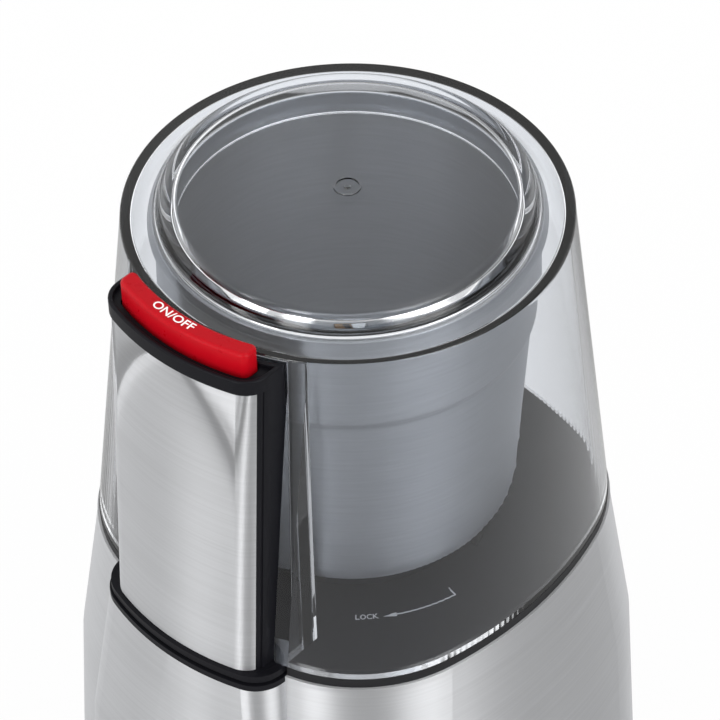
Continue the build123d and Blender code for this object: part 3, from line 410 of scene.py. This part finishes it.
def light_world():
    """Even studio light with soft boxes round it, white behind the grinder and through clear plastic."""
    world = bpy.data.worlds.new("studio")
    bpy.context.scene.world = world
    world.use_nodes = True
    tree = world.node_tree
    tree.nodes.clear()
    place = add(tree, "ShaderNodeTexCoord").outputs["Generated"]
    parts = add(tree, "ShaderNodeSeparateXYZ", {"Vector": place})
    flat = add(tree, "ShaderNodeCombineXYZ", {"X": parts.outputs["X"], "Y": parts.outputs["Y"]})
    around = add(tree, "ShaderNodeVectorMath", {0: flat.outputs["Vector"]}, operation="NORMALIZE")
    height = parts.outputs["Z"]
    level = add(tree, "ShaderNodeMapRange", {
        "Value": height, "From Min": SKY_RISE[0], "From Max": SKY_RISE[1],
        "To Min": SKY_LEVEL[0], "To Max": SKY_LEVEL[1]}).outputs["Result"]
    low = add(tree, "ShaderNodeMapRange", {
        "Value": height, "From Min": STRIP_FADE[0], "From Max": STRIP_FADE[1], "To Min": 1.0, "To Max": 0.0})
    for angle, half, strength in STRIPS:
        towards = (sin(radians(angle)), -cos(radians(angle)), 0)
        both = {0: around.outputs["Vector"], 1: towards}
        facing = add(tree, "ShaderNodeVectorMath", both, operation="DOT_PRODUCT")
        edges = cos(radians(1.5 * half)), cos(radians(0.5 * half))
        strip = add(tree, "ShaderNodeMapRange", {
            "Value": facing.outputs["Value"], "From Min": edges[0], "From Max": edges[1], "To Max": strength},
            interpolation_type="SMOOTHSTEP")
        level = add(tree, "ShaderNodeMath", {0: strip.outputs["Result"], 1: low.outputs["Result"], 2: level},
                    operation="MULTIPLY_ADD").outputs["Value"]
    seen = seen_directly(tree, add(tree, "ShaderNodeLightPath"))
    strength = add(tree, "ShaderNodeMix", {"Factor": seen, "A": level, "B": 1.0})
    back = add(tree, "ShaderNodeBackground", {"Color": WHITE, "Strength": strength.outputs[0]})
    add(tree, "ShaderNodeOutputWorld", {"Surface": back.outputs["Background"]})


# ---------------------------------------------------------------- making by hand


def begin(name):
    """A new empty piece, open for editing."""
    bpy.ops.object.select_all(action="DESELECT")
    bpy.ops.mesh.primitive_plane_add(size=MM)
    piece = bpy.context.object
    piece.name = name
    piece.data.name = name
    bpy.ops.object.mode_set(mode="EDIT")
    bpy.ops.mesh.delete(type="VERT")
    return piece


def seed(place):
    """A single vertex, from which lines and arcs are drawn."""
    bpy.ops.mesh.select_all(action="DESELECT")
    bpy.ops.mesh.primitive_plane_add(size=MM, location=Vector(place) * MM)
    bpy.ops.mesh.merge(type="CENTER")


def line(x, y, z):
    """Extrudes what is selected by a step."""
    bpy.ops.mesh.extrude_region_move(TRANSFORM_OT_translate={"value": Vector((x, y, z)) * MM})


def arc(centre, turn, steps):
    """Spins what is selected about a vertical axis, anticlockwise by degrees."""
    bpy.ops.mesh.spin(steps=steps, angle=-radians(turn), center=Vector(centre) * MM, axis=(0, 0, 1))


def choose(piece, wanted):
    """Selects the vertices whose place, in millimetres, answers a test, and what lies between them."""
    bpy.ops.mesh.select_all(action="DESELECT")
    bpy.ops.object.mode_set(mode="OBJECT")
    for vertex in piece.data.vertices:
        vertex.select = wanted(vertex.co / MM)
    bpy.ops.object.mode_set(mode="EDIT")


def round_corner(piece, place, width):
    """Rounds the corner of a drawn line at a place."""
    corner = Vector(place)
    choose(piece, lambda point: (point - corner).length < 0.02)
    bpy.ops.mesh.bevel(offset=width * MM, segments=6, affect="VERTICES")


def profile(piece, points):
    """Draws a line through radii and heights, each with the width that its corner is rounded by."""
    places = [Vector((radius, 0, height)) for radius, height, width in points]
    seed(places[0])
    for here, there in zip(places, places[1:]):
        line(*(there - here))
    for place, (radius, height, width) in zip(places, points):
        if width:
            round_corner(piece, place, width)


def weld():
    """Selects everything and joins the vertices that lie together."""
    bpy.ops.mesh.select_all(action="SELECT")
    bpy.ops.mesh.remove_doubles(threshold=0.002 * MM)


def lathe(steps):
    """Turns everything drawn in the XZ plane about the Z axis."""
    bpy.ops.mesh.select_all(action="SELECT")
    bpy.ops.mesh.spin(steps=steps, angle=2 * pi, center=(0, 0, 0), axis=(0, 0, 1), use_auto_merge=True)
    weld()


def close():
    """Turns the faces outwards and leaves edit mode."""
    weld()
    bpy.ops.mesh.normals_make_consistent(inside=False)
    bpy.ops.object.mode_set(mode="OBJECT")


def raise_plan(height):
    """Fills the outline that was drawn and extrudes it upwards."""
    weld()
    bpy.ops.mesh.edge_face_add()
    line(0, 0, height)


def draw_face(place, *steps):
    """A flat face whose corners follow steps from a place."""
    seed(place)
    for step in steps:
        line(*step)
    bpy.ops.mesh.select_linked()
    bpy.ops.mesh.edge_face_add()


def pick(*pieces):
    """Selects pieces and nothing else, and makes the last one active."""
    bpy.ops.object.select_all(action="DESELECT")
    for piece in pieces:
        piece.select_set(True)
        bpy.context.view_layer.objects.active = piece


def cut(piece, cutter):
    """Takes a cutter's form away from a piece, and deletes the cutter."""
    pick(piece)
    tool = piece.modifiers.new("cut", "BOOLEAN")
    tool.operation = "DIFFERENCE"
    tool.solver = "EXACT"
    tool.object = cutter
    bpy.ops.object.modifier_apply(modifier=tool.name)
    bpy.data.objects.remove(cutter)


def ready(piece, finish, body, *nodes, smooth=32):
    """Gives a finished piece its shading, finish and body, and hides the solid parts that it stands for."""
    pick(piece)
    bpy.ops.object.shade_smooth_by_angle(angle=radians(smooth))
    even = piece.modifiers.new("even", "WEIGHTED_NORMAL")
    even.keep_sharp = True
    even.weight = 100
    bpy.ops.object.modifier_apply(modifier=even.name)
    piece.data.materials.clear()
    piece.data.materials.append(FINISHES[finish])
    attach(piece, body)
    if nodes:
        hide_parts(*nodes)


# ---------------------------------------------------------------- cover

DECK_LEVEL = 130.0
DECK_HALF = 50.7  # half width of the rounded square that the deck and the cover's foot share
SIDE_RADIUS = 1.78 * DECK_HALF
SIDE_REACH = 15.4  # degrees that a bowed side reaches either way from its middle
SIDE_STEPS = 16
CORNER_STEPS = 11
COVER_FOOT = DECK_LEVEL + 0.05
COVER_INSET = 0.1  # of the cover's foot inside the deck's edge
RING_RADIUS = 45.0  # of the cover's round rim
RING_FOOT, RING_TOP = 209.0, 209.62
CROWN_FOOT_RADIUS, CROWN_FOOT = 38.5, 210.05
CROWN_RADIUS, CROWN_TOP, CROWN_UNDER = 36.5, 214.5, 212.3
GATE = (  # ring and nib left in the crown's middle where the plastic flowed in, with their roundings
    (2.75, 214.82, 0.08), (2.35, 214.8, 0.08), (2.3, 214.42, 0),
    (0.7, 214.42, 0), (0.45, 214.75, 0.1), (0, 214.8, 0),
)
ROOF = 208.4  # underside of the cover's rim
PLUG_OUTER, PLUG_INNER, PLUG_FOOT = 36.2, 34.4, 203.45
PLUG_DRAFT = 0.2  # how much wider the plug is inside at its top
NOTCH_HALF, NOTCH_RADIUS, NOTCH_TOP, NOTCH_CORNER = 20.6, 44.85, 208.95, 0.8
NOTCH_ROOF = 208.0  # underside of the notch's own wall


def corner_centre():
    """How far the centres of the rounded square's corners lie from both axes."""
    reach = radians(SIDE_REACH)
    return (SIDE_RADIUS - DECK_HALF) / (cos(reach) - sin(reach)) * sin(reach)


def square_loop(level, inset):
    """Rounded square with bowed sides at a level, drawn inset by a distance, with one spin for each arc."""
    middle = DECK_HALF - SIDE_RADIUS
    corner = corner_centre()
    seed((DECK_HALF - inset, 0, level))
    for quarter in range(4):
        turn = Matrix.Rotation(quarter * pi / 2, 4, "Z")
        arc(turn @ Vector((middle, 0, level)), SIDE_REACH, SIDE_STEPS)
        arc(turn @ Vector((corner, corner, level)), 90 - 2 * SIDE_REACH, 2 * CORNER_STEPS)
        arc(turn @ Vector((0, middle, level)), SIDE_REACH, SIDE_STEPS)


def tapered_form(name, points, bottom, inset):
    """Turned top whose last edge runs down to a rounded square, closed at its bottom."""
    piece = begin(name)
    profile(piece, points)
    lathe(8 * (SIDE_STEPS + CORNER_STEPS))
    radius, rim, width = points[0]
    square_loop(bottom, inset)
    weld()

    def at_foot(point):
        return point.z < bottom + 0.01

    def at_rim(point):
        return abs(point.z - rim) < 0.01 and abs(point.xy.length - radius) < 0.01

    choose(piece, lambda point: at_rim(point) or at_foot(point))
    bpy.ops.mesh.bridge_edge_loops()
    choose(piece, at_foot)
    bpy.ops.mesh.edge_face_add()
    close()
    return piece


def notch_form(name, half, radius, bottom, top, corner):
    """Space round the column: straight sides, and a back that follows the cover's round top."""
    piece = begin(name)
    back = sqrt(radius ** 2 - half ** 2)
    seed((half, -back, bottom))
    line(0, back - 2 * radius, 0)
    line(-2 * half, 0, 0)
    line(0, 2 * radius - back, 0)
    arc((0, 0, bottom), 2 * degrees(asin(half / radius)), 24)
    weld()
    for side in (-1, 1):
        round_corner(piece, (side * half, -back, bottom), corner)
    raise_plan(top - bottom)
    close()
    return piece


class GRINDER_OT_cover(bpy.types.Operator):
    """Mould the clear cover: a crowned top, a plug ring, and a wall that makes way for the column"""

    bl_idname = "grinder.cover"
    bl_label = "Clear cover"

    def execute(self, context):
        size = context.scene.grinder_sizes
        wall = size.cover_wall / MM
        shoulder = size.crown_round / MM
        outside = tapered_form("cover_moulding", [
            (RING_RADIUS, RING_FOOT, 0), (RING_RADIUS, RING_TOP, 0.35), (CROWN_FOOT_RADIUS, CROWN_FOOT, 2.0),
            (CROWN_RADIUS, CROWN_TOP, shoulder), (GATE[0][0] + 0.05, CROWN_TOP, 0), *GATE,
        ], COVER_FOOT, COVER_INSET)
        inside = tapered_form("cover_hollow", [
            (RING_RADIUS - wall, ROOF - 1.2, 0), (RING_RADIUS - wall, ROOF, 0.5), (PLUG_OUTER, ROOF, 0.4),
            (PLUG_OUTER, PLUG_FOOT, 0.45), (PLUG_INNER, PLUG_FOOT, 0.45),
            (PLUG_INNER + PLUG_DRAFT, CROWN_UNDER - 0.1, 1.2), (0, CROWN_UNDER, 0),
        ], DECK_LEVEL - 1, COVER_INSET + wall)
        below = DECK_LEVEL - 2
        cut(outside, notch_form("notch", NOTCH_HALF, NOTCH_RADIUS, below, NOTCH_TOP, NOTCH_CORNER))
        cut(inside, notch_form(
            "notch_wall", NOTCH_HALF + wall, NOTCH_RADIUS - wall, below, NOTCH_ROOF, NOTCH_CORNER))
        cut(outside, inside)
        ready(outside, "clear_plastic", "cover", "clear_cover", smooth=40)
        return {"FINISHED"}


# ---------------------------------------------------------------- cup

CUP_FLOOR, CUP_RIM, CUP_WALL = 133.0, 208.1, 0.9
CUP_FOOT_WALL = 0.85  # the wall just above the rounded foot
CUP_HOLE = 5.05  # radius of the hole for the blade's bush
CUP_FOOT_RADIUS, CUP_STEP_RADIUS, CUP_RADIUS = 34.0, 36.8, 37.7
CUP_STEP = 185.1, 186.5  # heights of the step outside
CUP_STEP_INSIDE = 181.0, 192.0  # drawn softer inside
CUP_STEP_ROUND, CUP_STEP_ROUND_INSIDE, CUP_RIM_ROUND = 1.0, 3.0, 0.42
CUP_STEPS = 160  # faces round the cup


class GRINDER_OT_cup(bpy.types.Operator):
    """Draw the steel cup: a deep round foot, a tapering wall, a step below the rim and a rolled edge"""

    bl_idname = "grinder.cup"
    bl_label = "Steel cup"

    def execute(self, context):
        foot = context.scene.grinder_sizes.cup_round / MM
        piece = begin("cup_shell")
        profile(piece, [
            (CUP_HOLE, CUP_FLOOR, 0), (CUP_FOOT_RADIUS, CUP_FLOOR, foot),
            (CUP_STEP_RADIUS, CUP_STEP[0], CUP_STEP_ROUND), (CUP_RADIUS, CUP_STEP[1], CUP_STEP_ROUND),
            (CUP_RADIUS, CUP_RIM, CUP_RIM_ROUND), (CUP_RADIUS - CUP_WALL, CUP_RIM, CUP_RIM_ROUND),
            (CUP_RADIUS - CUP_WALL, CUP_STEP_INSIDE[1], CUP_STEP_ROUND_INSIDE),
            (CUP_STEP_RADIUS - CUP_WALL, CUP_STEP_INSIDE[0], CUP_STEP_ROUND_INSIDE),
            (CUP_FOOT_RADIUS - CUP_FOOT_WALL, CUP_FLOOR + CUP_WALL, foot - CUP_WALL),
            (CUP_HOLE, CUP_FLOOR + CUP_WALL, 0), (CUP_HOLE, CUP_FLOOR, 0),
        ])
        lathe(CUP_STEPS)
        close()
        ready(piece, "cup_steel", "cup", "grinding_cup")
        return {"FINISHED"}


# ---------------------------------------------------------------- column, button and flange

COLUMN_HALF, COLUMN_CORNER, COLUMN_INNER = 20.0, 6.0, 45.4
CAP_REACH, CAP_FOOT, CAP_HEIGHT = 52.9, 205.3, 3.4
CAP_RIM, CAP_TROUGH, CAP_ROUND = 1.0, 1.1, 0.32  # width of its rim, depth of its trough and rounding
BUTTON_INNER, BUTTON_OUTER, BUTTON_HALF = 46.2, 50.2, 16.49
BUTTON_CORNER, BUTTON_INNER_CORNER = 1.7, 1.2
BUTTON_FOOT, BUTTON_TOP, BUTTON_GAP = 203.1, 213.3, 0.3
WELL_SHIFT = 1.3  # how far below the cap's foot the button's well begins, to cut clean through
BEND_STEPS, ROUND_STEPS = 32, 8  # of the arcs about the cup's axis and round a corner
GROOVE_WIDTH, GROOVE_DEPTH = 0.55, 0.5
GROOVE_FRONT, GROOVE_LEAN, GROOVE_HEIGHT = -51.3, 4.76, 77.0  # its foot's Y, its lean and its height
INK = 0.03  # thickness of a print


def front_outline(reach, half, corner, inner, inner_corner, level):
    """Outline of a bar bent about the cup's axis: arcs in front and behind, straight sides, round corners."""
    turns = []
    for radius, round_by, sign in ((reach, corner, -1), (inner, inner_corner, 1)):
        middle, far = half - round_by, radius + sign * round_by
        turns.append((middle, -sqrt(far ** 2 - middle ** 2), degrees(asin(middle / far))))
    (middle, depth, lean), (back_middle, back_depth, back_lean) = turns
    seed((half, back_depth, level))
    line(0, depth - back_depth, 0)
    arc((middle, depth, level), lean - 90, ROUND_STEPS)
    arc((0, 0, level), -2 * lean, BEND_STEPS)
    arc((-middle, depth, level), lean - 90, ROUND_STEPS)
    line(0, back_depth - depth, 0)
    if inner_corner:
        arc((-back_middle, back_depth, level), -90 - back_lean, ROUND_STEPS)
    arc((0, 0, level), 2 * back_lean, BEND_STEPS)
    if inner_corner:
        arc((back_middle, back_depth, level), -90 - back_lean, ROUND_STEPS)


def button_form(name, grow, bottom, top):
    """Curved bar about the cup's axis with round ends, standing between two levels."""
    piece = begin(name)
    front_outline(BUTTON_OUTER + grow, BUTTON_HALF + grow, BUTTON_CORNER + grow, BUTTON_INNER - grow,
                  BUTTON_INNER_CORNER + grow, bottom)
    raise_plan(top - bottom)
    return piece


def printed(name, words, width, radius, angle, level, tall):
    """Words in thin ink, bent round the cup's axis, at a radius and an angle in degrees from the column."""
    bpy.ops.object.select_all(action="DESELECT")
    bpy.ops.object.text_add()
    text = bpy.context.object
    text.name = name
    text.data.body = words
    text.data.align_x = "CENTER"
    text.data.align_y = "CENTER"
    text.data.offset = 0.012  # bolder
    text.data.extrude = text_extrude = 0.01  # either way
    text.data.resolution_u = 4
    bpy.ops.object.convert(target="MESH")
    bpy.ops.object.mode_set(mode="EDIT")
    bpy.ops.mesh.select_all(action="SELECT")
    sizes = text.dimensions
    scale = width * MM / sizes.x, tall * MM / sizes.y, INK * MM / (2 * text_extrude)
    bpy.ops.transform.resize(value=scale, center_override=(0, 0, 0))
    bpy.ops.mesh.remove_doubles(threshold=0.001 * MM)
    bpy.ops.object.mode_set(mode="OBJECT")
    bend = text.modifiers.new("bend", "SIMPLE_DEFORM")
    bend.deform_method = "BEND"
    bend.deform_axis = "Z"
    bend.angle = width / radius
    bpy.ops.object.modifier_apply(modifier=bend.name)
    bpy.ops.object.mode_set(mode="EDIT")
    bpy.ops.mesh.select_all(action="SELECT")
    bpy.ops.transform.translate(value=Vector((0, -radius, level)) * MM)
    bpy.ops.transform.rotate(value=-radians(angle), orient_axis="Z", center_override=(0, 0, 0))
    bpy.ops.object.mode_set(mode="OBJECT")
    return text


def side_groove(side):
    """Form of the slot down one side of the column, which leans along the steel sheet's edge."""
    piece = begin("side_groove")
    foot = side * (COLUMN_HALF + GROOVE_DEPTH), GROOVE_FRONT, DECK_LEVEL - 0.5
    draw_face(foot, (0, GROOVE_WIDTH, 0), (0, GROOVE_LEAN, GROOVE_HEIGHT), (0, -GROOVE_WIDTH, 0))
    line(-side * 2 * GROOVE_DEPTH, 0, 0)
    close()
    return piece


def softened(node, name, width):
    """A copy of a solid part with its facets joined and its sharp edges rounded."""
    pick(frame["nodes"][node])
    bpy.ops.object.duplicate()
    piece = bpy.context.object
    piece.name = name
    for mark in [mark for mark in piece.keys() if mark.startswith("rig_")]:
        del piece[mark]
    bpy.ops.object.mode_set(mode="EDIT")
    weld()
    bpy.ops.mesh.customdata_custom_splitnormals_clear()
    bpy.ops.mesh.dissolve_limited(angle_limit=radians(0.3))
    bpy.ops.object.mode_set(mode="OBJECT")
    soft = piece.modifiers.new("soft", "BEVEL")
    soft.width = width * MM
    soft.segments = 3
    soft.limit_method = "ANGLE"
    soft.angle_limit = radians(40)
    bpy.ops.object.modifier_apply(modifier=soft.name)
    return piece


class GRINDER_OT_button(bpy.types.Operator):
    """Mould the push button with rounded edges and print its two words"""

    bl_idname = "grinder.button"
    bl_label = "Button"

    def execute(self, context):
        size = context.scene.grinder_sizes
        piece = button_form("button_cover", 0, BUTTON_FOOT, BUTTON_TOP)
        choose(piece, lambda point: point.z > BUTTON_TOP - 0.1)
        bpy.ops.mesh.bevel(offset=size.button_round, segments=5, affect="EDGES")
        close()
        ready(piece, "red_plastic", "button", "on_off_button")
        middle = (BUTTON_INNER + BUTTON_OUTER) / 2
        words = printed("button_words", "ON/OFF", width=size.words_width / MM, radius=middle, angle=-1.6,
                        level=BUTTON_TOP, tall=1.95)
        ready(words, "white_ink", "button")
        return {"FINISHED"}


class GRINDER_OT_cap(bpy.types.Operator):
    """Mould the column's cap with a rim round the trough that the button sits in"""

    bl_idname = "grinder.cap"
    bl_label = "Column cap"

    def execute(self, context):
        piece = begin("cap_moulding")
        front_outline(CAP_REACH, COLUMN_HALF, COLUMN_CORNER, COLUMN_INNER, 0, CAP_FOOT)
        raise_plan(CAP_HEIGHT)
        bpy.ops.mesh.inset(thickness=CAP_RIM * MM)
        line(0, 0, -CAP_TROUGH)
        choose(piece, lambda point: point.z > CAP_FOOT + CAP_HEIGHT - 0.1)
        bpy.ops.mesh.region_to_loop()
        bpy.ops.mesh.bevel(offset=CAP_ROUND * MM, segments=3, affect="EDGES")
        close()
        well = button_form("button_well", BUTTON_GAP, CAP_FOOT - WELL_SHIFT, BUTTON_TOP - WELL_SHIFT)
        close()
        cut(piece, well)
        ready(piece, "black_plastic", "base", "column_cap")
        return {"FINISHED"}


class GRINDER_OT_trim(bpy.types.Operator):
    """Round the edges of the gasket and of the column's foot, and cut the two slots in the column's sides"""

    bl_idname = "grinder.trim"
    bl_label = "Trim"

    def execute(self, context):
        foot = softened("column_foot", "foot_moulding", width=0.45)
        ready(foot, "black_plastic", "base", "column_foot")
        gasket = softened("deck_gasket", "gasket_ring", width=0.7)
        ready(gasket, "gasket_rubber", "base", "deck_gasket")
        spine = softened("column_spine", "column_moulding", width=0.02)
        for side in (-1, 1):
            cut(spine, side_groove(side))
        ready(spine, "black_plastic", "base", "column_spine")
        return {"FINISHED"}


MARK_RADIUS, LINE_WIDTH = 37.4, 0.28  # of the arrow's arc about the cup's axis
ARROW_ANGLE, ARROW_SWEEP = 54.6, 20.8  # degrees from the column to the arrow's head, and along its arc
ARROW_STEPS = 24
HEAD_LENGTH, HEAD_HALF = 2.65, 0.55  # of the arrow's head
HEAD_OVERLAP = 0.4  # how far the arc begins inside the head
TICK = (12.8, -35.2), (0.26, 0.1), (-0.75, 2.3)  # at the arc's far end: place, step across, step along


class GRINDER_OT_marks(bpy.types.Operator):
    """Print the word, the arrow and the arc that show how the cup locks"""

    bl_idname = "grinder.marks"
    bl_label = "Lock mark"

    def execute(self, context):
        words = printed("lock_words", "LOCK", width=4.7, radius=MARK_RADIUS - 0.2, angle=45.3,
                        level=DECK_LEVEL, tall=1.35)
        ready(words, "grey_ink", "base")
        piece = begin("lock_arrow")
        seed((-HEAD_OVERLAP, -MARK_RADIUS - LINE_WIDTH / 2, DECK_LEVEL))
        line(0, LINE_WIDTH, 0)
        bpy.ops.mesh.select_all(action="SELECT")
        arc((0, 0, DECK_LEVEL), ARROW_SWEEP, ARROW_STEPS)
        bpy.ops.mesh.select_all(action="SELECT")
        line(0, 0, INK)
        tip = -HEAD_LENGTH, -MARK_RADIUS, DECK_LEVEL
        draw_face(tip, (HEAD_LENGTH, -HEAD_HALF, 0), (0, 2 * HEAD_HALF, 0))
        line(0, 0, INK)
        place, across, along = TICK
        back = -across[0], -across[1]
        draw_face((*place, DECK_LEVEL), (*across, 0), (*along, 0), (*back, 0))
        line(0, 0, INK)
        bpy.ops.mesh.select_all(action="SELECT")
        bpy.ops.transform.rotate(value=-radians(ARROW_ANGLE), orient_axis="Z", center_override=(0, 0, 0))
        close()
        ready(piece, "grey_ink", "base")
        return {"FINISHED"}


# ---------------------------------------------------------------- finishes on the solid parts


class GRINDER_OT_finishes(bpy.types.Operator):
    """Give every solid part its finish"""

    bl_idname = "grinder.finishes"
    bl_label = "Finishes"

    def execute(self, context):
        FINISHES.update(materials())
        for part in frame["record"]["subparts"]:
            node = frame["nodes"][part["node"]]
            node.data.materials.clear()
            node.data.materials.append(FINISHES[part["material_slot"]])
        return {"FINISHED"}


class GRINDER_PT_panel(bpy.types.Panel):
    """Lists the grinder's operators and values"""

    bl_idname = "GRINDER_PT_panel"
    bl_label = "Spice grinder"
    bl_space_type = "VIEW_3D"
    bl_region_type = "UI"
    bl_category = "Grinder"

    def draw(self, context):
        for group in (context.scene.grinder_looks, context.scene.grinder_sizes):
            for name in group.__annotations__:
                self.layout.prop(group, name)
        for step in STEPS:
            self.layout.operator(step.bl_idname)


STEPS = (
    GRINDER_OT_stage, GRINDER_OT_finishes, GRINDER_OT_cover, GRINDER_OT_cup, GRINDER_OT_button,
    GRINDER_OT_cap, GRINDER_OT_trim, GRINDER_OT_marks,
)
CLASSES = (GrinderLooks, GrinderSizes, *STEPS, GRINDER_PT_panel)


def register():
    for kind in CLASSES:
        bpy.utils.register_class(kind)
    bpy.types.Scene.grinder_looks = PointerProperty(type=GrinderLooks)
    bpy.types.Scene.grinder_sizes = PointerProperty(type=GrinderSizes)


def unregister():
    del bpy.types.Scene.grinder_sizes
    del bpy.types.Scene.grinder_looks
    for kind in reversed(CLASSES):
        bpy.utils.unregister_class(kind)


def main():
    """Builds the grinder's looks step by step."""
    register()
    bpy.context.scene.view_settings.view_transform = "Standard"
    for step in STEPS:
        group, name = step.bl_idname.split(".")
        getattr(getattr(bpy.ops, group), name)()


if __name__ == "__main__":
    main()
